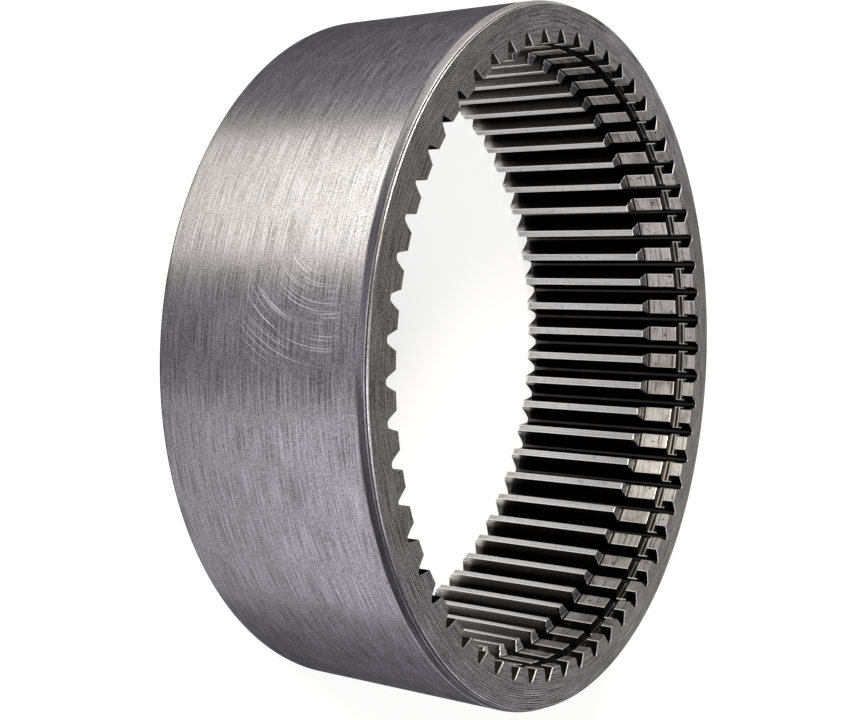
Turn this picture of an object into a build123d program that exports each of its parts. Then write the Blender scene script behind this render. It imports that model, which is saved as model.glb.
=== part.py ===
from build123d import *
import os
from math import acos, cos, pi, radians, sin, tan

# Internal ring gear, one piece of steel, in millimetres.
# The gear lies on its plain far face: +Z is its axis, z = 0 is the far face,
# and the near face, with the lands and the retaining ring groove, is up.

# Tooth system
tooth_count = 59
gear_module = 3.5
pressure_angle = 22.5
tip_height = 3.95
root_depth = 4.25
root_bevel = 0.35

# Ring
ring_width = 76.0
rim_wall = 9.5
near_chamfer_radial = 1.4
near_chamfer_axial = 3.0
far_chamfer = 1.0
tip_end_chamfer = 1.8

# Shortened teeth at the near end: outer land, retaining ring groove, inner land,
# turning relief and the sloped shoulder that rises to the full-depth teeth
seat_tooth_height = 4.5
outer_land_length = 4.5
groove_width = 3.8
groove_floor_depth = 3.3
inner_land_length = 11.1
relief_width = 0.8
relief_depth = 0.5
shoulder_length = 1.1

# Cutter margins
mouth_margin = 1.0
end_margin = 1.0

pitch_radius = gear_module * tooth_count / 2
base_radius = pitch_radius * cos(radians(pressure_angle))
tip_radius = pitch_radius - tip_height
root_radius = pitch_radius + root_depth
outer_radius = root_radius + rim_wall
seat_radius = root_radius - seat_tooth_height
groove_radius = seat_radius + groove_floor_depth
relief_radius = seat_radius + relief_depth

groove_top = ring_width - outer_land_length
groove_bottom = groove_top - groove_width
relief_top = groove_bottom - inner_land_length
relief_bottom = relief_top - relief_width
full_depth_top = relief_bottom - shoulder_length


def involute(angle):
    """The involute function of an angle in radians."""
    return tan(angle) - angle


def half_space_angle(radius):
    """Half of the angle that one tooth space spans at a radius, from the involute flanks."""
    local_angle = acos(min(1.0, base_radius / radius))
    return pi / (2 * tooth_count) + involute(radians(pressure_angle)) - involute(local_angle)


def polar_point(radius, angle):
    """A point of the section at a radius and an angle in radians from +X."""
    return (radius * cos(angle), radius * sin(angle))


def turned_blank():
    """The ring before its teeth are cut: the stepped section turned about the axis."""
    near_face_radius = outer_radius - near_chamfer_radial
    section = Polyline(
        (tip_radius + tip_end_chamfer, 0),
        (outer_radius - far_chamfer, 0),
        (outer_radius, far_chamfer),
        (outer_radius, ring_width - near_chamfer_axial),
        (near_face_radius, ring_width),
        (seat_radius, ring_width),
        (seat_radius, groove_top),
        (groove_radius, groove_top),
        (groove_radius, groove_bottom),
        (seat_radius, groove_bottom),
        (seat_radius, relief_top),
        (relief_radius, relief_top),
        (relief_radius, relief_bottom),
        (seat_radius, relief_bottom),
        (tip_radius, full_depth_top),
        (tip_radius, tip_end_chamfer),
        close=True,
    )
    return revolve(Plane.XZ * make_face(section), Axis.Z, 360)


def tooth_space():
    """The cutter of one tooth space on +X: two flanks, a bevelled root and an open mouth.

    Each flank is one arc through three points of the involute, at its ends and half way up.
    """
    flank_start = max(tip_radius, base_radius)
    flank_middle = (flank_start + root_radius) / 2
    radii = [flank_start, flank_middle, root_radius]
    upper = [polar_point(radius, half_space_angle(radius)) for radius in radii]
    lower = [(x, -y) for x, y in upper]
    root_mid = polar_point(root_radius, 0)
    mouth_radius = tip_radius - mouth_margin
    mouth_angle = half_space_angle(flank_start)
    mouth_upper = polar_point(mouth_radius, mouth_angle)
    mouth_lower = polar_point(mouth_radius, -mouth_angle)
    outline = [
        Line(mouth_upper, upper[0]),
        ThreePointArc(*upper),
        ThreePointArc(upper[2], root_mid, lower[2]),
        ThreePointArc(lower[2], lower[1], lower[0]),
        Line(lower[0], mouth_lower),
        Line(mouth_lower, mouth_upper),
    ]
    space = make_face(outline)
    root_corners = space.vertices().sort_by(Axis.X)[-2:]
    floor_width = 2 * root_radius * half_space_angle(root_radius)
    space = chamfer(root_corners, min(root_bevel, floor_width / 4))
    return Pos(0, 0, -end_margin) * extrude(space, ring_width + 2 * end_margin)


def ring_gear():
    """The blank with every tooth space cut through its whole width."""
    cutter = tooth_space()
    spaces = [place * cutter for place in PolarLocations(0, tooth_count)]
    return turned_blank() - spaces


os.makedirs("parts", exist_ok=True)
gear = ring_gear()
gear.label = "ring_gear"
export_step(gear, "parts/ring_gear.step")
print("solids", len(gear.solids()), "volume", round(gear.volume, 1), "mm3")
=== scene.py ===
from math import pi, radians
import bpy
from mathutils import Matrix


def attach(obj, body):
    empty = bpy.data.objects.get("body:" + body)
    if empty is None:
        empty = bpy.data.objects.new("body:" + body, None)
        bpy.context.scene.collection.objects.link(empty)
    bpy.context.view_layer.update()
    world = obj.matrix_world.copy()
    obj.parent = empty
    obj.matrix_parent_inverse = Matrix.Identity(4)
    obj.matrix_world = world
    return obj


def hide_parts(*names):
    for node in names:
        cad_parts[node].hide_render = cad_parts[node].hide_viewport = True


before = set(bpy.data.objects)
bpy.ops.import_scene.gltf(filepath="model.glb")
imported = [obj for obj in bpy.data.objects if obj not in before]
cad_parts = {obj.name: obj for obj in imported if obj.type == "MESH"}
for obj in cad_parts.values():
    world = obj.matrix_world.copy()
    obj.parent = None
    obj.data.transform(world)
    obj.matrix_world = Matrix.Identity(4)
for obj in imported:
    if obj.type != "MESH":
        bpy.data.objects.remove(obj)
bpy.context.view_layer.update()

from types import SimpleNamespace

import bmesh
import bpy
import numpy as np
from bpy.props import FloatProperty, FloatVectorProperty, IntProperty, PointerProperty
from mathutils import Vector

bl_info = {
    "name": "Internal Ring Gear",
    "version": (1, 0, 0),
    "blender": (4, 5, 0),
    "location": "View3D > Sidebar > Ring Gear",
    "description": "Builds a detailed internal ring gear and a plain studio stage",
    "category": "Object",
}

MM = 0.001

# Fine forms of the bore, in millimetres: the two bands of the groove's floor, painted bright as
# highlights, above its lower wall, and the breaks at the end of the inner land, at both ends of the
# shoulder and at the far face
LOWER_BAND = (0.1, 0.7)
UPPER_BAND = (1.75, 2.2)
LAND_END_BREAK = 0.12
SHOULDER_FOOT_BREAK = 0.45
SHOULDER_TOP_BREAK = (0.15, 0.25)
FAR_BREAK = 0.2

# Columns of points: one this far outside the pitch circle, in millimetres, and three on the root
# fillet, which starts and ends at these shares of its radius from the sharp root corner
FLANK_COLUMN = 2.0
FILLET_START = 0.8
FILLET_END = 0.75
FILLET_STEPS = (0.3, 0.62, 1.0)

# Where the next column is no further than this many edge breaks, a land's corner gets its break, and
# the columns that it meets on the land stay this angle apart, in radians
BREAK_REACH = 2.2
COLUMN_GAP = 1e-4

# Eases of the outside's corners, in millimetres: in along the far face and up the far chamfer, in and
# down that chamfer and up the side, down the side and in and up the near taper, and out and down the
# taper and in along the near face
FAR_FACE_EASE = (0.15, 0.06)
FAR_SIDE_EASE = (0.1, 0.06, 0.4)
NEAR_SIDE_EASE = (0.35, 0.07, 0.1)
NEAR_FACE_EASE = (0.06, 0.2, 0.2)

# A ring of points on each end face, this far outside the roots, and where the outside starts, in
# millimetres. Points are joined on a grid of half a micrometre.
FACE_RING = 3.0
RIM_START = 4.0
WELDS_PER_METRE = 2e6

# The taper at the near edge, painted darker than the outside as shade: shares of its length, with how
# deep each dips for the turned line, and the shares between which it has a light band and the dark line,
# painted shade, and outside which its ends are light
TAPER_STEPS = ((0.6, 0.0), (0.7, 0.0), (0.73, 0.1), (0.81, 0.1), (0.84, 0.0))
TAPER_BAND = (0.6, 0.7)
TAPER_LINE = (0.7, 0.85)
TAPER_EDGES = (0.02, 0.86)

# The finishes, in the order of the mesh's material slots
(OUTSIDE, FACED, LANDS, TIPS, FLANKS, EDGE_HIGHLIGHTS, PAINTED_SHADE, GROOVE_FLOOR_HIGHLIGHTS, SHADED_CHAMFER, TURNED_LINE,
 FACE_BEVELS, SHOULDER) = range(12)

# How the faces point: lands and tips look straight inwards, walls and the shoulder along the axis,
# and breaks lie between, as shares of the normal. Folds sharper than the first angle show as edges,
# and on the outside those sharper than the second.
INWARD = 0.95
INWARD_BREAK = 0.55
FLAT = 0.95
ALONG_AXIS = 0.9
AXIAL_BREAK = 0.45
ACROSS_AXIS = 0.3
SHARP_FOLD = radians(58.0)
SHARP_STEP = radians(12.0)

# Tool marks: noise cells in a metre across the cut and along it, fine and medium, and for turned
# marks the layer of the noise that each takes. The grain and the clouds are even noise.
AXIAL_MARKS = ((6000.0, 40.0), (1400.0, 14.0))
TURNED_MARKS = ((2900.0, 80.0, 0.0), (1300.0, 40.0, 3.0))
GRAIN_SCALE = 2200.0
CLOUD_SCALE = 60.0

# The layers' weights in the shade, and the range of their sum that the shade spreads out
FINE_WEIGHT = 0.40
MEDIUM_WEIGHT = 0.11
GRAIN_WEIGHT = 0.37
CLOUD_WEIGHT = 0.12
SHADE_RANGE = (0.39, 0.61)

# Roughness of the darkest and of the lightest shade, as factors, and the depth of the bump in metres
ROUGHER = 1.13
SMOOTHER = 0.88
BUMP_DEPTH = 0.00002

# Patterns, in metres: the radius at which angles are measured as lengths, the feed of the facing
# marks, the centre of the rub marks, drawn lighter as a painted glint, and the middle of their patch as
# (z, length round the axis), and how much longer a length is on the outside than at that radius
AROUND_RADIUS = 0.1
FACING_FEED = 0.00074
RUB_GLINT_CENTRE = (0.062, 0.2270)
RUB_GLINT_PATCH = (0.049, 0.2520)
OUTSIDE_SCALE = 1.17

# Wear with painted sheen and painted shade, in metres: the flanks are painted bright from the tips'
# radius to the second one, as far up as the full-depth teeth, and painted dark elsewhere. The far end's
# change of colour is full below the first height and ends at the second.
WEAR_SHEEN_RADII = (0.0993, 0.1028)
WEAR_SHEEN_HEIGHTS = (0.053, 0.0545)
FLANK_PAINTED_SHADE = 0.3
FAR_END_HEIGHTS = (0.0015, 0.007)

# The gloss of the taper and of the shoulder runs round the axis, and rises this much, in metres, over
# the length of a radius
EDGE_SLANT = 0.0675

STAIN_COLOUR = (0.07, 0.05, 0.035, 1.0)
WHITE = (1.0, 1.0, 1.0, 1.0)


class RingGearSizes(bpy.types.PropertyGroup):
    """Sizes of the gear in millimetres: the CAD part's, and the fillet and bevels that it lacks."""

    tooth_count: IntProperty(name="Teeth", description="Number of internal teeth", default=59, min=12)
    gear_module: FloatProperty(name="Module", description="Tooth module in mm", default=3.5)
    pressure_angle: FloatProperty(
        name="Pressure Angle", description="Pressure angle of the teeth", default=radians(22.5),
        subtype="ANGLE")
    tip_height: FloatProperty(name="Tip Height", description="Pitch circle to tip, mm", default=3.95)
    root_depth: FloatProperty(name="Root Depth", description="Pitch circle to root, mm", default=4.25)
    root_fillet: FloatProperty(
        name="Root Fillet", description="Size of the fillet in the root corners, mm", default=0.55)
    width: FloatProperty(name="Width", description="Width of the ring along its axis, mm", default=76.0)
    rim_wall: FloatProperty(name="Rim Wall", description="Root circle to outside, mm", default=9.5)
    near_chamfer_radial: FloatProperty(
        name="Near Chamfer Depth", description="Radial depth of the near outer chamfer, mm", default=1.4)
    near_chamfer_axial: FloatProperty(
        name="Near Chamfer Length", description="Axial length of the near outer chamfer, mm", default=3.0)
    far_chamfer: FloatProperty(name="Far Chamfer", description="Far outer chamfer, mm", default=1.0)
    tip_end_chamfer: FloatProperty(
        name="Tip End Chamfer", description="Chamfer of the tips at the far end, mm", default=1.8)
    seat_height: FloatProperty(
        name="Seat Tooth Height", description="Height of the shortened teeth, mm", default=4.5)
    outer_land: FloatProperty(
        name="Outer Land", description="Length of the outer land, mm", default=4.5)
    groove_width: FloatProperty(
        name="Groove Width", description="Width of the retaining ring groove, mm", default=3.8)
    groove_depth: FloatProperty(
        name="Groove Depth", description="Depth of the retaining ring groove, mm", default=3.3)
    inner_land: FloatProperty(
        name="Inner Land", description="Length of the inner land, mm", default=11.1)
    relief_width: FloatProperty(
        name="Relief Width", description="Width of the turning relief, mm", default=0.8)
    relief_depth: FloatProperty(
        name="Relief Depth", description="Depth of the turning relief, mm", default=0.5)
    shoulder: FloatProperty(
        name="Shoulder Length", description="Axial length of the shoulder, mm", default=1.1)
    face_bevel: FloatProperty(
        name="Face Bevel", description="Depth of the bevel round the spaces at the near face, mm",
        default=0.25)
    face_bevel_width: FloatProperty(
        name="Face Bevel Width", description="Width of that bevel across the near face, mm",
        default=0.2)
    edge_break: FloatProperty(
        name="Edge Break", description="Small break on the tooth edges, mm", default=0.22)


class RingGearLooks(bpy.types.PropertyGroup):
    """Colours of the steel's finishes, some painted light and shade: bright edges and groove bands, dark
    flanks, chamfer and groove.
    """

    outside: FloatVectorProperty(
        name="Outside", description="Colour of the turned outside, the turned line and the shoulder",
        subtype="COLOR", size=3, default=(0.194, 0.189, 0.211), min=0.0, max=1.0)
    faced: FloatVectorProperty(
        name="Faced End", description="Colour of the faced ends and the bevels on the near face",
        subtype="COLOR", size=3, default=(0.335, 0.316, 0.329), min=0.0, max=1.0)
    lands: FloatVectorProperty(
        name="Lands", description="Colour of the turned lands",
        subtype="COLOR", size=3, default=(0.465, 0.442, 0.446), min=0.0, max=1.0)
    tips: FloatVectorProperty(
        name="Tips", description="Colour of the full-depth tooth tips",
        subtype="COLOR", size=3, default=(0.47, 0.472, 0.487), min=0.0, max=1.0)
    # Painted shade: the flanks are drawn darker than the other steel, for the shade between the teeth.
    flanks: FloatVectorProperty(
        name="Flanks", description="Colour of the shaped flanks",
        subtype="COLOR", size=3, default=(0.068, 0.065, 0.064), min=0.0, max=1.0)
    # Painted highlight: near white for the broken edges and the groove floor's bands, for the light that
    # they catch.
    edges: FloatVectorProperty(
        name="Edges", description="Colour of the bright broken edges and the groove floor's bands",
        subtype="COLOR", size=3, default=(0.74, 0.71, 0.69), min=0.0, max=1.0)
    # Painted shade: the near chamfer is drawn darker than the turned outside.
    chamfer: FloatVectorProperty(
        name="Chamfer", description="Colour of the near chamfer",
        subtype="COLOR", size=3, default=(0.069, 0.067, 0.079), min=0.0, max=1.0)
    # Painted shade: near black for the groove walls and the floor between its bands, the relief, the
    # taper's turned line and the far chamfer.
    groove: FloatVectorProperty(
        name="Groove", description="Colour of the groove walls, the relief and the far chamfer",
        subtype="COLOR", size=3, default=(0.036, 0.034, 0.035), min=0.0, max=1.0)


# The surface of the ring

def levels(sizes):
    """The turned radii and the heights of the section, in millimetres.

    Radii are worked out from the pitch radius, half of the module times the teeth. Heights are above
    the far face, worked out from the near face down.
    """
    pitch = sizes.gear_module * sizes.tooth_count / 2
    root = pitch + sizes.root_depth
    seat = root - sizes.seat_height
    groove_high = sizes.width - sizes.outer_land
    groove_low = groove_high - sizes.groove_width
    relief_high = groove_low - sizes.inner_land
    relief_low = relief_high - sizes.relief_width
    return SimpleNamespace(
        pitch=pitch, tip=pitch - sizes.tip_height, root=root, seat=seat,
        groove=seat + sizes.groove_depth, relief=seat + sizes.relief_depth,
        outer=root + sizes.rim_wall, groove_high=groove_high, groove_low=groove_low,
        relief_high=relief_high, relief_low=relief_low, shoulder_low=relief_low - sizes.shoulder)


def involute(angle):
    """The involute function: the tangent of an angle less the angle."""
    return np.tan(angle) - angle


def tooth_half_angle(sizes, radius):
    """Half of the angle that a tooth spans at a radius.

    It is half of the angle of a tooth on the pitch circle, less the involute of the pressure angle,
    plus the involute of the angle whose cosine is the base radius over the radius. The base radius
    is the pitch radius times the cosine of the pressure angle.
    """
    count = sizes.tooth_count
    base = sizes.gear_module * count / 2 * np.cos(sizes.pressure_angle)
    local = np.arccos(np.minimum(1.0, base / np.asarray(radius, float)))
    return pi / (2 * count) - involute(sizes.pressure_angle) + involute(local)


def bore_stations(sizes):
    """Rows of the bore from the near face to the far face: (land radius, z, offset).

    The land radius is the turned step at that row. The offset moves the whole tooth outline into
    the metal, which makes the bevels at the two end faces. On the shoulder the rows lie on a straight
    line, whose fall is the shoulder's length times the climb so far over the whole climb.
    """
    at = levels(sizes)
    edge = sizes.edge_break
    rows = [
        (at.seat, sizes.width, sizes.face_bevel_width),
        (at.seat, sizes.width - sizes.face_bevel, 0.0),
        (at.seat, at.groove_high + edge, 0.0),
        (at.seat + edge, at.groove_high, 0.0),
        (at.groove, at.groove_high, 0.0),
    ]
    for height in (UPPER_BAND[1], UPPER_BAND[0], LOWER_BAND[1], LOWER_BAND[0], 0.0):
        rows.append((at.groove, at.groove_low + height, 0.0))
    rows += [
        (at.seat + edge, at.groove_low, 0.0),
        (at.seat, at.groove_low - edge, 0.0),
        (at.seat, (at.groove_low + at.relief_high) / 2, 0.0),
        (at.seat, at.relief_high + LAND_END_BREAK, 0.0),
        (at.seat + LAND_END_BREAK, at.relief_high, 0.0),
        (at.relief, at.relief_high, 0.0),
        (at.relief, at.relief_low, 0.0),
        (at.seat, at.relief_low, 0.0),
    ]
    climb = at.seat - at.tip
    for radius in (at.seat - SHOULDER_FOOT_BREAK, (at.seat + at.tip) / 2):
        rows.append((radius, at.relief_low - sizes.shoulder * (at.seat - radius) / climb, 0.0))
    rise, drop = SHOULDER_TOP_BREAK
    chamfer = sizes.tip_end_chamfer
    rows += [
        (at.tip + rise, at.shoulder_low + rise * sizes.shoulder / climb, 0.0),
        (at.tip, at.shoulder_low - drop, 0.0),
        (at.tip, at.shoulder_low / 2, 0.0),
        (at.tip, chamfer, 0.0),
        (at.tip + chamfer - FAR_BREAK, FAR_BREAK, 0.0),
        (at.tip + chamfer, 0.0, FAR_BREAK),
    ]
    return rows


def angle_radii(sizes, rows):
    """Radii that get a column on the flank, so that every step corner falls on a column."""
    at = levels(sizes)
    wanted = {row[0] for row in rows}
    wanted |= {radius + sizes.edge_break for radius in (at.tip, at.seat, at.groove)}
    wanted |= {(at.seat + at.groove) / 2, at.pitch + FLANK_COLUMN}
    limit = at.root - sizes.root_fillet * FILLET_START
    return np.array(sorted(radius for radius in {round(r, 4) for r in wanted} if radius < limit))


def gap_outline(sizes, radii):
    """One half of the tooth outline, from the tooth's edge to the middle of the space.

    The columns are the flank, at the half angle of the tooth for each radius, then the root fillet
    and the middle of the space on the root circle. The fillet is a curve of the second degree: it
    starts at the last point of the flank, ends on the root circle and is drawn towards the sharp
    corner between them. Returns the angle and the radius of each column.
    """
    root = levels(sizes).root
    start = radii[-1]
    corner = root * tooth_half_angle(sizes, root)
    first = np.array([start, start * tooth_half_angle(sizes, start)])
    middle = np.array([root, corner])
    last = np.array([root, corner + sizes.root_fillet * FILLET_END])
    t = np.array(FILLET_STEPS)[:, None]
    curve = (1 - t) ** 2 * first + 2 * t * (1 - t) * middle + t ** 2 * last
    flank = tooth_half_angle(sizes, radii)
    angles = np.concatenate([flank, curve[:, 1] / curve[:, 0], [pi / sizes.tooth_count]])
    depths = np.concatenate([radii, curve[:, 0], [root]])
    return angles, depths


def outline_row(sizes, angles, depths, land, offset):
    """One row of the grid for half a tooth: the larger of the land's radius and the column's.

    On the land side the corner column moves back along the land by the edge break, so the bevel
    runs from there to the first flank column beyond the corner. A positive offset moves every
    point into the metal along the outline's normal.
    """
    edge = sizes.edge_break
    radius = np.maximum(land, depths)
    turn = angles.copy()
    corner = int(np.argmin(np.abs(depths - land)))
    at_corner = abs(depths[corner] - land) < 1e-3
    if at_corner and depths[corner + 1] - depths[corner] < BREAK_REACH * edge:
        turn[corner] = angles[corner] - edge / land
        steps = corner - np.arange(corner)
        turn[:corner] = np.minimum(angles[:corner], turn[corner] - COLUMN_GAP * steps)
    turn = np.concatenate([[0.0, turn[0] * 0.5], turn])
    radius = np.concatenate([[land, land], radius])
    if offset:
        along = np.gradient(turn * radius)
        rise = np.gradient(radius)
        length = np.hypot(along, rise)
        length[length < 1e-9] = 1.0
        moved = turn - offset * rise / length / radius
        moved[0] = 0.0
        moved[-1] = turn[-1]
        return moved, radius + offset * along / length
    return turn, radius


def turned_stations(sizes):
    """Rows of the outside from the far face to the near face: (radius, z).

    Each corner is eased by a short straight across it. The near taper is a straight line, with the
    fine turned line sunk into it.
    """
    at = levels(sizes)
    top = sizes.width
    far = sizes.far_chamfer
    taper_low = top - sizes.near_chamfer_axial
    near_face = at.outer - sizes.near_chamfer_radial
    rows = [
        (at.root + FACE_RING, 0.0),
        (at.outer - far - FAR_FACE_EASE[0], 0.0),
        (at.outer - far, FAR_FACE_EASE[1]),
        (at.outer - FAR_SIDE_EASE[0], far - FAR_SIDE_EASE[1]),
        (at.outer, far + FAR_SIDE_EASE[2]),
        (at.outer, top / 2),
        (at.outer, taper_low - NEAR_SIDE_EASE[0]),
        (at.outer - NEAR_SIDE_EASE[1], taper_low + NEAR_SIDE_EASE[2]),
    ]
    for part, dip in TAPER_STEPS:
        rows.append((at.outer - sizes.near_chamfer_radial * part - dip,
                     taper_low + sizes.near_chamfer_axial * part))
    rows += [
        (near_face + NEAR_FACE_EASE[0], top - NEAR_FACE_EASE[1]),
        (near_face - NEAR_FACE_EASE[2], top),
        (at.root + FACE_RING, top),
    ]
    return rows


def ring_grid(sizes):
    """The closed grid of the ring, rows round its section and columns round its axis.

    A point lies at its radius times the cosine and the sine of its angle, and at its row's height.
    The bore's rows take the radius from the tooth outline, and the rows of the outside, the
    chamfers and the end faces take the turned one. The other half of each tooth is its mirror
    image, and the tooth is repeated round the axis.
    """
    stations = bore_stations(sizes)
    angles, depths = gap_outline(sizes, angle_radii(sizes, stations))
    half = [outline_row(sizes, angles, depths, land, offset) + (z,) for land, z, offset in stations]
    plain = np.concatenate([[0.0, angles[0] * 0.5], angles])
    half += [(plain, np.full(len(plain), radius), z) for radius, z in turned_stations(sizes)]
    turns = np.array([row[0] for row in half])
    radial = np.array([row[1] for row in half])
    heights = np.array([row[2] for row in half])
    turns = np.concatenate([-turns[:, :0:-1], turns[:, :-1]], axis=1)
    radial = np.concatenate([radial[:, :0:-1], radial[:, :-1]], axis=1)
    count = sizes.tooth_count
    places = (np.arange(count) + 0.5) * (2 * pi / count)
    theta = (places[None, :, None] + turns[:, None, :]).reshape(len(heights), -1)
    radius = np.broadcast_to(radial[:, None, :], (len(heights), count, radial.shape[1]))
    radius = radius.reshape(len(heights), -1)
    z = np.broadcast_to(heights[:, None], radius.shape)
    return np.stack([radius * np.cos(theta), radius * np.sin(theta), z], axis=-1) * MM


def weld(points):
    """Vertices and faces of a closed grid.

    Points within half a micrometre are joined, and a face that has no area left is dropped.
    """
    rows, columns = points.shape[:2]
    flat = points.reshape(-1, 3)
    keys = np.round(flat * WELDS_PER_METRE).astype(np.int64)
    first, inverse = np.unique(keys, axis=0, return_index=True, return_inverse=True)[1:]
    inverse = inverse.reshape(rows, columns)
    i = np.arange(rows)[:, None]
    j = np.arange(columns)[None, :]
    next_i = np.roll(i, -1)
    next_j = np.roll(j, -1)
    quads = np.stack([
        inverse[i, j], inverse[i, next_j], inverse[next_i, next_j], inverse[next_i, j]], axis=-1)
    faces = []
    for quad in quads.reshape(-1, 4).tolist():
        corners = [v for n, v in enumerate(quad) if v != quad[n - 1]]
        if len(set(corners)) >= 3:
            faces.append(corners)
    return flat[first], faces


# Materials

class Nodes:
    """A short way to write a material's nodes: values and links go in by socket name or number."""

    def __init__(self, name):
        self.material = bpy.data.materials.new(name)
        self.material.use_nodes = True
        self.tree = self.material.node_tree
        self.shader = self.tree.nodes["Principled BSDF"]

    def add(self, kind, **settings):
        node = self.tree.nodes.new(kind)
        for key, value in settings.items():
            setattr(node, key, value)
        return node

    def put(self, node, key, value):
        socket = node.inputs[key]
        if isinstance(value, bpy.types.NodeSocket):
            self.tree.links.new(value, socket)
        else:
            socket.default_value = value

    def math(self, operation, *values):
        node = self.add("ShaderNodeMath", operation=operation)
        for index, value in enumerate(values):
            self.put(node, index, value)
        return node.outputs[0]

    def plus(self, first, second):
        return self.math("ADD", first, second)

    def times(self, first, second):
        return self.math("MULTIPLY", first, second)

    def most(self, first, second):
        return self.math("MAXIMUM", first, second)

    def length(self, first, second):
        """The root of the sum of two squares."""
        return self.math("SQRT", self.plus(self.times(first, first), self.times(second, second)))

    def noise(self, vector, scale, detail, roughness=0.55):
        node = self.add("ShaderNodeTexNoise")
        self.put(node, "Vector", vector)
        self.put(node, "Scale", scale)
        self.put(node, "Detail", detail)
        self.put(node, "Roughness", roughness)
        return node.outputs["Fac"]

    def ramp(self, value, low, high, out_low=0.0, out_high=1.0):
        node = self.add("ShaderNodeMapRange", clamp=True)
        self.put(node, "Value", value)
        self.put(node, "From Min", low)
        self.put(node, "From Max", high)
        self.put(node, "To Min", out_low)
        self.put(node, "To Max", out_high)
        return node.outputs["Result"]

    def mix(self, factor, first, second):
        node = self.add("ShaderNodeMix", data_type="RGBA")
        self.put(node, 0, factor)
        self.put(node, 6, first)
        self.put(node, 7, second)
        return node.outputs[2]

    def combine(self, x, y, z):
        node = self.add("ShaderNodeCombineXYZ")
        for index, value in enumerate((x, y, z)):
            self.put(node, index, value)
        return node.outputs[0]


def coordinates(n):
    """Object coordinates as sockets, in metres: the vector, x, y, z, the radius and the way round."""
    coords = n.add("ShaderNodeTexCoord").outputs["Object"]
    parts = n.add("ShaderNodeSeparateXYZ")
    n.put(parts, 0, coords)
    x, y, z = parts.outputs
    around = n.times(n.math("ARCTAN2", y, x), AROUND_RADIUS)
    return SimpleNamespace(coords=coords, x=x, y=y, z=z, radius=n.length(x, y), around=around)


def tool_marks(n, at, lines):
    """Fine and medium tool marks: noise that is drawn out along the cut."""
    if lines == "axial":
        fine, medium = [
            n.combine(n.times(at.around, across), n.times(at.radius, across), n.times(at.z, along))
            for across, along in AXIAL_MARKS]
        return n.noise(fine, 1.0, 2.0), n.noise(medium, 1.0, 3.0)
    step = at.z if lines == "round" else at.radius
    fine, medium = [
        n.combine(n.times(step, across), n.times(at.around, along), layer)
        for across, along, layer in TURNED_MARKS]
    return n.noise(fine, 1.0, 1.0), n.noise(medium, 1.0, 2.0)


def gloss_direction(n, at, lines):
    """The direction in which the brushed gloss is drawn out.

    It lies along the axis on a cylinder, along the radius on an end face, and round the axis with a
    slight slant on the taper and the shoulder.
    """
    if lines == "round":
        return n.combine(0.0, 0.0, 1.0)
    if lines == "edge":
        return n.combine(n.times(at.y, -1.0), at.x, EDGE_SLANT)
    return n.combine(at.x, at.y, 0.0)


def facing_marks(n, at, strength):
    """Facing marks: a sine of the radius, stronger in some places than in others."""
    wave = n.math("SINE", n.times(at.radius, 2 * pi / FACING_FEED))
    patch = n.ramp(n.noise(at.coords, 16.0, 2.0), 0.38, 0.6, 0.15, 1.0)
    patch = n.times(patch, n.ramp(at.y, -0.03, 0.05, 1.0, 0.4))
    return n.times(n.times(wave, patch), strength)


def rub_marks_glint(n, at, strength):
    """One patch of curved rub marks, drawn lighter as a painted glint: noise by the distance from a point
    of the unrolled outside.

    The patch fades out with the squared distance from its own middle.
    """
    side = n.math("SUBTRACT", at.z, RUB_GLINT_CENTRE[0])
    rise = n.times(n.math("SUBTRACT", at.around, RUB_GLINT_CENTRE[1]), OUTSIDE_SCALE)
    bearing = n.math("ARCTAN2", rise, side)
    arcs = n.combine(n.times(n.length(side, rise), 2700.0), n.times(bearing, 1.1), 7.0)
    arcs = n.ramp(n.noise(arcs, 1.0, 0.0), 0.61, 0.72)
    side = n.math("SUBTRACT", at.z, RUB_GLINT_PATCH[0])
    rise = n.times(n.math("SUBTRACT", at.around, RUB_GLINT_PATCH[1]), OUTSIDE_SCALE)
    from_middle = n.plus(n.math("POWER", side, 2.0), n.math("POWER", rise, 2.0))
    return n.times(n.times(arcs, n.ramp(from_middle, 0.00004, 0.00036, 1.0, 0.0)), strength)


def flank_wear_sheen_shade(n, at, strength):
    """Where the planets run, the flanks are worn bright near their tips, with a painted sheen; the rest
    is painted shade.
    """
    near_tips = n.ramp(at.radius, *WEAR_SHEEN_RADII, strength, 0.0)
    full_depth = n.ramp(at.z, *WEAR_SHEEN_HEIGHTS, 1.0, 0.0)
    return n.plus(n.times(near_tips, full_depth), FLANK_PAINTED_SHADE)


def stained(n, at, medium, tint, strength):
    """A tint under dark spots, streaks along the tool marks and a thin uneven film."""
    spots = n.ramp(n.noise(at.coords, 420.0, 3.0, 0.6), 0.60, 0.68, 0.0, strength)
    streaks = n.ramp(medium, 0.545, 0.63, 0.0, strength * 0.85)
    film = n.ramp(n.noise(at.coords, 90.0, 3.0, 0.65), 0.52, 0.7, 0.0, strength * 0.6)
    return n.mix(n.most(n.most(spots, streaks), film), tint, STAIN_COLOUR)


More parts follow.
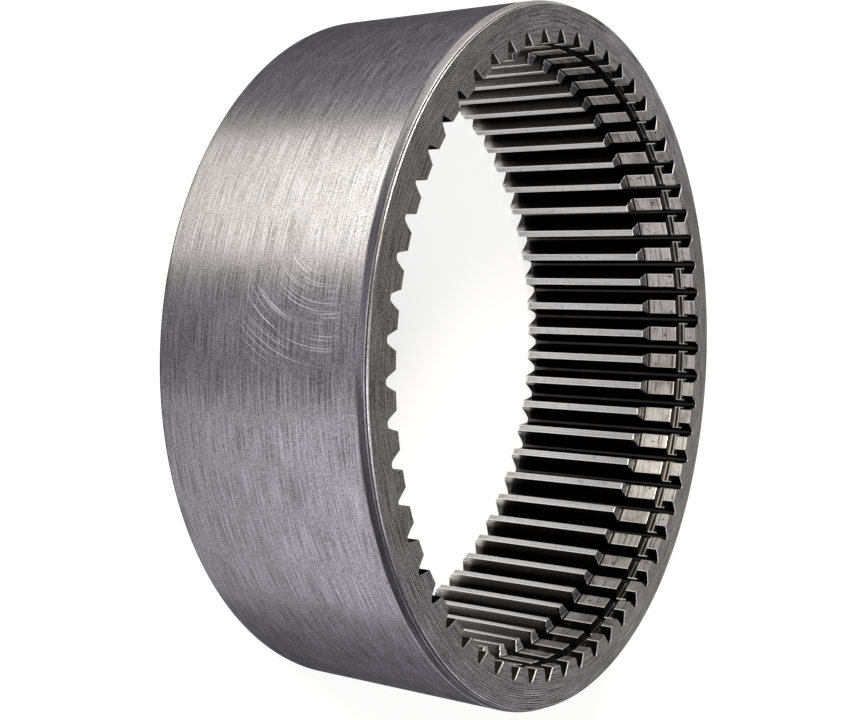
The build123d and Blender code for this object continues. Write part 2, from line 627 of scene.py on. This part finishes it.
def steel_material(name, base, lines, *, roughness, contrast, spread=0.0, rub_glint=0.0, rings=0.0,
                   stains=0.0, far_end_tone=0.0, wear_sheen_shade=0.0, rim=1.0, painted_light_ramp=None, relief=0.25):
    """Bare machined steel with tool marks.

    lines: which way the marks run: "round" the axis on a cylinder, on an "edge" such as the taper or
        the shoulder, in circles on a "face", or "axial", along the axis.
    roughness: at the middle shade. Darker places are rougher and lighter ones smoother.
    contrast: how far the shade of the marks, the grain and the clouds changes the colour.
    spread: the brushed (anisotropic) gloss across the marks, which axial marks don't have.
    rub_glint, rings, stains, wear_sheen_shade: strengths of the patch of rub marks with their painted
    glint, the facing marks, the dark stains, and the flanks' wear with its painted sheen and shade.
    far_end_tone: how much lighter, or with a minus sign darker, the steel is near the far face.
    rim: the specular tint, under 1 where edges stay dark at a grazing view.
    painted_light_ramp: painted light and shade along an axis: its number, from where to where, and the
    two factors of the colour there.
    relief: the strength of the bump.
    """
    n = Nodes(name)
    at = coordinates(n)
    fine, medium = tool_marks(n, at, lines)
    grain = n.noise(at.coords, GRAIN_SCALE, 1.0)
    cloud = n.noise(at.coords, CLOUD_SCALE, 5.0, 0.7)
    tone = n.times(fine, FINE_WEIGHT)
    for layer, weight in ((medium, MEDIUM_WEIGHT), (grain, GRAIN_WEIGHT), (cloud, CLOUD_WEIGHT)):
        tone = n.plus(tone, n.times(layer, weight))
    shade = n.ramp(tone, *SHADE_RANGE, -1.0, 1.0)
    height = n.plus(fine, n.times(medium, 0.35))
    if rings:
        marks = facing_marks(n, at, rings)
        shade = n.plus(shade, n.times(marks, 0.9))
        height = n.plus(height, marks)
    # The rub marks are scratches drawn lighter and smoother, a painted glint.
    if rub_glint:
        shade = n.plus(shade, rub_marks_glint(n, at, rub_glint))
    factor = n.plus(1.0, n.times(shade, contrast))
    # Painted sheen near the flanks' tips and painted shade over the rest of the flanks.
    if wear_sheen_shade:
        factor = n.times(factor, flank_wear_sheen_shade(n, at, wear_sheen_shade))
    # Painted light and shade: the colour is lighter towards one end of an axis and darker towards the
    # other.
    if painted_light_ramp:
        axis, start, end, low, high = painted_light_ramp
        factor = n.times(factor, n.ramp((at.x, at.y, at.z)[axis], start, end, low, high))
    # The colour is lighter, or darker, near the far face.
    if far_end_tone:
        bright = n.times(n.ramp(at.z, *FAR_END_HEIGHTS, far_end_tone, 0.0), n.ramp(cloud, 0.35, 0.65))
        factor = n.times(factor, n.plus(1.0, bright))
    scaled = n.add("ShaderNodeVectorMath", operation="SCALE")
    n.put(scaled, 0, base)
    n.put(scaled, "Scale", factor)
    tint = scaled.outputs[0]
    if stains:
        tint = stained(n, at, medium, tint, stains)
    n.put(n.shader, "Base Color", tint)
    n.put(n.shader, "Metallic", 1.0)
    n.put(n.shader, "Specular Tint", (rim, rim, rim, 1.0))
    n.put(n.shader, "Roughness",
          n.ramp(shade, -1.0, 1.0, roughness * ROUGHER, roughness * SMOOTHER))
    if spread:
        n.put(n.shader, "Anisotropic", spread)
        n.put(n.shader, "Tangent", gloss_direction(n, at, lines))
    bump = n.add("ShaderNodeBump")
    n.put(bump, "Strength", relief)
    n.put(bump, "Distance", BUMP_DEPTH)
    n.put(bump, "Height", height)
    n.put(n.shader, "Normal", bump.outputs[0])
    return n.material


def ring_materials(looks):
    """The finishes of the ring, in the order of their numbers above."""
    return (
        # The outside is painted lighter towards the near face, painted light.
        steel_material(
            "turned_outside", looks.outside, "round", roughness=0.43, spread=1.0, contrast=0.54,
            rub_glint=4.0, rim=0.25, relief=0.08, painted_light_ramp=(2, 0.0, 0.076, 0.88, 1.27)),
        # The faced end is painted lighter at -y and darker at +y, painted light and shade.
        steel_material(
            "faced_end", looks.faced, "face", roughness=0.46, spread=0.25, contrast=0.78,
            rings=0.95, rim=0.5, painted_light_ramp=(1, -0.11, 0.11, 1.24, 0.58)),
        steel_material(
            "turned_lands", looks.lands, "round", roughness=0.40, spread=0.6, contrast=0.25,
            stains=0.95),
        steel_material(
            "tooth_tips", looks.tips, "axial", roughness=0.24, contrast=0.18, stains=0.3,
            far_end_tone=-0.4, rim=0.8),
        # Painted shade: the flanks' colour is drawn near black.
        steel_material(
            "shaped_flanks", looks.flanks, "axial", roughness=0.22, contrast=0.25, stains=0.4,
            far_end_tone=4.2, wear_sheen_shade=3.0, rim=0.3),
        # Painted highlight: the broken edges are near white.
        steel_material("broken_edges_highlight", looks.edges, "axial", roughness=0.40, contrast=0.1),
        # Painted shade: the near-black finish of the hollows and the far chamfer.
        steel_material(
            "groove_walls_shade", looks.groove, "face", roughness=0.42, spread=0.2, contrast=0.2,
            stains=0.3, rim=0.4),
        # Painted highlight: the groove floor's bands are near white.
        steel_material(
            "groove_floor_highlight", looks.edges, "round", roughness=0.3, spread=0.6, contrast=0.2),
        # Painted shade: the taper is drawn darker than the turned outside.
        steel_material(
            "chamfer", looks.chamfer, "edge", roughness=0.40, spread=0.95, contrast=0.4, rim=0.6),
        steel_material(
            "turned_line", looks.outside, "edge", roughness=0.40, spread=0.9, contrast=0.6),
        steel_material("face_bevels", looks.faced, "axial", roughness=0.40, contrast=0.2),
        steel_material(
            "shoulder", looks.outside, "edge", roughness=0.40, spread=0.95, contrast=0.4, rim=0.6),
    )


# Which face has which finish

def between(values, low, high):
    """Where the values lie above low and below high."""
    return (values > low) & (values < high)


def paint(mesh, sizes):
    """Gives each face its finish, by where its centre is and the way it faces."""
    count = len(mesh.polygons)
    centre = np.zeros(count * 3)
    normal = np.zeros(count * 3)
    mesh.polygons.foreach_get("center", centre)
    mesh.polygons.foreach_get("normal", normal)
    centre = centre.reshape(-1, 3) / MM
    normal = normal.reshape(-1, 3)
    radius = np.hypot(centre[:, 0], centre[:, 1])
    height = centre[:, 2]
    axial = np.abs(normal[:, 2])
    inward = -(centre[:, :2] * normal[:, :2]).sum(1) / radius
    index = np.full(count, OUTSIDE, dtype=np.int32)
    index[axial > FLAT] = FACED
    paint_outside(index, sizes, radius, height)
    paint_bore(index, sizes, radius, height, axial, inward)
    mesh.polygons.foreach_set("material_index", index)
    mesh.update()


def paint_outside(index, sizes, radius, height):
    """The near taper, painted darker as shade, with its turned line and the far chamfer, both painted
    near black as shade.
    """
    top = sizes.width
    rim = radius > levels(sizes).root + RIM_START
    taper_low = top - sizes.near_chamfer_axial
    taper = rim & between(height, taper_low - NEAR_SIDE_EASE[0] - 0.01, top - 0.01)
    part = (height - taper_low) / sizes.near_chamfer_axial
    # The taper is painted darker than the outside, painted shade.
    index[taper] = SHADED_CHAMFER
    index[taper & ((part < TAPER_EDGES[0]) | (part > TAPER_EDGES[1]))] = TURNED_LINE
    index[taper & between(part, *TAPER_BAND)] = TURNED_LINE
    # The turned line in the taper is painted near black, painted shade in its dip.
    index[taper & between(part, *TAPER_LINE)] = PAINTED_SHADE
    # The far chamfer is painted near black, painted shade.
    index[rim & between(height, 0.001, sizes.far_chamfer + 0.3)] = PAINTED_SHADE


def paint_bore(index, sizes, radius, height, axial, inward):
    """The flanks, then what is turned across them: tips, lands, groove, relief and shoulder.

    Each later line takes its faces from the ones before it. The bare numbers are margins in
    millimetres, with which each test falls between two steps of the section.
    """
    at = levels(sizes)
    bore = (radius < at.root + 0.2) & between(height, 0.01, sizes.width - 0.01)
    index[bore] = FLANKS
    # Faces along the axis in the bore are painted near black, painted shade.
    index[bore & (axial > ALONG_AXIS)] = PAINTED_SHADE
    slope = bore & (axial > ALONG_AXIS) & (radius < at.seat - 0.02)
    index[slope] = SHOULDER
    # The foot of the shoulder is painted near white, a painted highlight.
    index[slope & (radius > at.seat - SHOULDER_FOOT_BREAK - 0.01)] = EDGE_HIGHLIGHTS
    above_root = bore & (radius < at.root - 0.9)
    tops = above_root & (axial < ACROSS_AXIS) & (inward > INWARD)
    index[tops & (radius > at.seat - 0.4)] = LANDS
    index[tops & (radius <= at.seat - 0.4)] = TIPS
    in_groove = tops & (radius > at.groove - 0.2)
    # The groove's floor is painted near black, painted shade, apart from its two bands.
    index[in_groove] = PAINTED_SHADE
    # The groove floor's two bands are painted near white, a painted highlight.
    for low, high in (LOWER_BAND, UPPER_BAND):
        index[in_groove & between(height, at.groove_low + low, at.groove_low + high)] = GROOVE_FLOOR_HIGHLIGHTS
    # The relief is painted near black, painted shade.
    index[tops & (radius > at.seat + 0.2) & (height < at.groove_low - 5.0)] = PAINTED_SHADE
    along_teeth = (axial < ACROSS_AXIS) & (inward > INWARD_BREAK) & (inward <= INWARD)
    breaks = above_root & (along_teeth | between(axial, AXIAL_BREAK, ALONG_AXIS))
    # The edge breaks along the teeth are painted near white, a painted highlight.
    index[breaks] = EDGE_HIGHLIGHTS
    on_shoulder = between(height, at.shoulder_low, at.relief_low) & (radius < at.seat - 0.5)
    index[breaks & on_shoulder] = SHOULDER
    near_face = height > sizes.width - sizes.face_bevel - 0.01
    index[bore & near_face & (axial > ACROSS_AXIS)] = FACE_BEVELS


def crease(mesh, sizes):
    """Marks as sharp the steps of the turned outside and the rim of each faced end."""
    work = bmesh.new()
    work.from_mesh(mesh)
    limit = (levels(sizes).root + RIM_START) * MM
    for edge in work.edges:
        outside = all(v.co.x ** 2 + v.co.y ** 2 > limit ** 2 for v in edge.verts)
        finishes = {face.material_index for face in edge.link_faces}
        if outside and edge.calc_face_angle() > SHARP_STEP:
            edge.smooth = False
        if len(finishes) == 2 and finishes & {FACED, FACE_BEVELS}:
            edge.smooth = False
    work.to_mesh(mesh)
    work.free()


class RINGGEAR_OT_ring(bpy.types.Operator):
    """Build the toothed ring, which stands for the CAD node ring_gear"""

    bl_idname = "ring_gear.ring"
    bl_label = "Ring Gear"

    def execute(self, context):
        sizes = context.scene.ring_gear_sizes
        vertices, faces = weld(ring_grid(sizes))
        mesh = bpy.data.meshes.new("ring_gear_detail")
        mesh.from_pydata(vertices.tolist(), [], faces)
        mesh.validate()
        ring = bpy.data.objects.new("ring_gear_detail", mesh)
        context.scene.collection.objects.link(ring)
        for material in ring_materials(context.scene.ring_gear_looks):
            mesh.materials.append(material)
        paint(mesh, sizes)
        mesh.shade_smooth()
        mesh.set_sharp_from_angle(angle=SHARP_FOLD)
        crease(mesh, sizes)
        normals = ring.modifiers.new("weighted_normals", "WEIGHTED_NORMAL")
        normals.keep_sharp = True
        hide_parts("ring_gear")
        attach(ring, "root")
        return {"FINISHED"}


# The stage

FLOOR_REACH = 4.0
FLOOR_DROP = 0.0005
FLOOR_GREY = 0.25
FLOOR_GLOW = 0.78
WORLD_STRENGTH = 0.35
LIGHT_TARGET = (0, 0, 0.04)

# The camera, in metres, degrees and millimetres, and its shift as a share of the picture's width
CAMERA_PLACE = (-0.330317, 0.212640, 0.282396)
CAMERA_TURN = (-0.89862, -56.87926, -28.16607)
CAMERA_SENSOR = 36.0
CAMERA_LENS = 55.973
CAMERA_SHIFT = (-0.0355, -0.0947)


def floor_material():
    """Grey to the light that falls on it, and white to the camera and in reflections."""
    n = Nodes("floor_white")
    rays = n.add("ShaderNodeLightPath").outputs
    seen = n.most(n.most(rays["Is Camera Ray"], rays["Is Glossy Ray"]), rays["Is Transmission Ray"])
    n.put(n.shader, "Base Color", (FLOOR_GREY, FLOOR_GREY, FLOOR_GREY, 1.0))
    n.put(n.shader, "Roughness", 0.9)
    n.put(n.shader, "Specular IOR Level", 0.1)
    n.put(n.shader, "Emission Color", WHITE)
    n.put(n.shader, "Emission Strength", n.times(seen, FLOOR_GLOW))
    return n.material


def add_floor(scene):
    """A flat square, just under what the gear lies on."""
    reach = FLOOR_REACH
    mesh = bpy.data.meshes.new("floor")
    corners = [(-reach, -reach, 0), (reach, -reach, 0), (reach, reach, 0), (-reach, reach, 0)]
    mesh.from_pydata(corners, [], [(0, 1, 2, 3)])
    mesh.materials.append(floor_material())
    floor = bpy.data.objects.new("floor", mesh)
    scene.collection.objects.link(floor)
    floor.location.z = -FLOOR_DROP


def add_world(scene):
    """An even white sky, which fills the shadows."""
    world = bpy.data.worlds.new("studio")
    scene.world = world
    world.use_nodes = True
    background = world.node_tree.nodes["Background"]
    background.inputs["Color"].default_value = WHITE
    background.inputs["Strength"].default_value = WORLD_STRENGTH


def add_light(scene, name, place, watts, width, height=None, tint=(1.0, 1.0, 1.0)):
    """A lamp of this width and height in metres, square if it has no height, aimed at the gear."""
    light = bpy.data.lights.new(name, "AREA")
    light.energy = watts
    light.color = tint
    light.size = width
    if height:
        light.shape = "RECTANGLE"
        light.size_y = height
    obj = bpy.data.objects.new(name, light)
    scene.collection.objects.link(obj)
    obj.location = place
    obj.rotation_euler = (Vector(LIGHT_TARGET) - Vector(place)).to_track_quat("-Z", "Y").to_euler()


def add_camera(scene):
    """The camera at the photograph's viewing angle."""
    camera_data = bpy.data.cameras.new("camera")
    camera = bpy.data.objects.new("camera", camera_data)
    scene.collection.objects.link(camera)
    camera.location = CAMERA_PLACE
    camera.rotation_euler = [radians(turn) for turn in CAMERA_TURN]
    camera_data.sensor_width = CAMERA_SENSOR
    camera_data.lens = CAMERA_LENS
    camera_data.shift_x, camera_data.shift_y = CAMERA_SHIFT
    scene.camera = camera


class RINGGEAR_OT_stage(bpy.types.Operator):
    """Set the pale floor, the soft lights, the world and the camera"""

    bl_idname = "ring_gear.stage"
    bl_label = "Studio Stage"

    def execute(self, context):
        scene = context.scene
        scene.view_settings.view_transform = "Standard"
        add_floor(scene)
        add_world(scene)
        add_light(scene, "key", (-0.25, 1.06, 0.66), watts=36.0, width=0.85, height=0.2,
                  tint=(1.0, 0.955, 0.79))
        add_light(scene, "fill", (-1.015, -0.33, 0.62), watts=14.0, width=1.4, height=0.25,
                  tint=(1.0, 0.98, 0.96))
        add_light(scene, "back", (1.2, -0.25, 0.4), watts=1.0, width=0.22)
        add_camera(scene)
        return {"FINISHED"}


class RINGGEAR_PT_panel(bpy.types.Panel):
    """Lists the sizes, the looks and the build steps"""

    bl_label = "Ring Gear"
    bl_idname = "RINGGEAR_PT_panel"
    bl_space_type = "VIEW_3D"
    bl_region_type = "UI"
    bl_category = "Ring Gear"

    def draw(self, context):
        for group in (context.scene.ring_gear_sizes, context.scene.ring_gear_looks):
            column = self.layout.column()
            for name in group.__annotations__:
                column.prop(group, name)
        for operator in OPERATORS:
            self.layout.operator(operator.bl_idname)


OPERATORS = (RINGGEAR_OT_ring, RINGGEAR_OT_stage)
CLASSES = (RingGearSizes, RingGearLooks) + OPERATORS + (RINGGEAR_PT_panel,)


def register():
    for cls in CLASSES:
        bpy.utils.register_class(cls)
    bpy.types.Scene.ring_gear_sizes = PointerProperty(type=RingGearSizes)
    bpy.types.Scene.ring_gear_looks = PointerProperty(type=RingGearLooks)


def unregister():
    del bpy.types.Scene.ring_gear_looks
    del bpy.types.Scene.ring_gear_sizes
    for cls in reversed(CLASSES):
        bpy.utils.unregister_class(cls)


def main():
    register()
    bpy.ops.ring_gear.ring()
    bpy.ops.ring_gear.stage()
    bpy.context.view_layer.update()


if __name__ == "__main__":
    main()
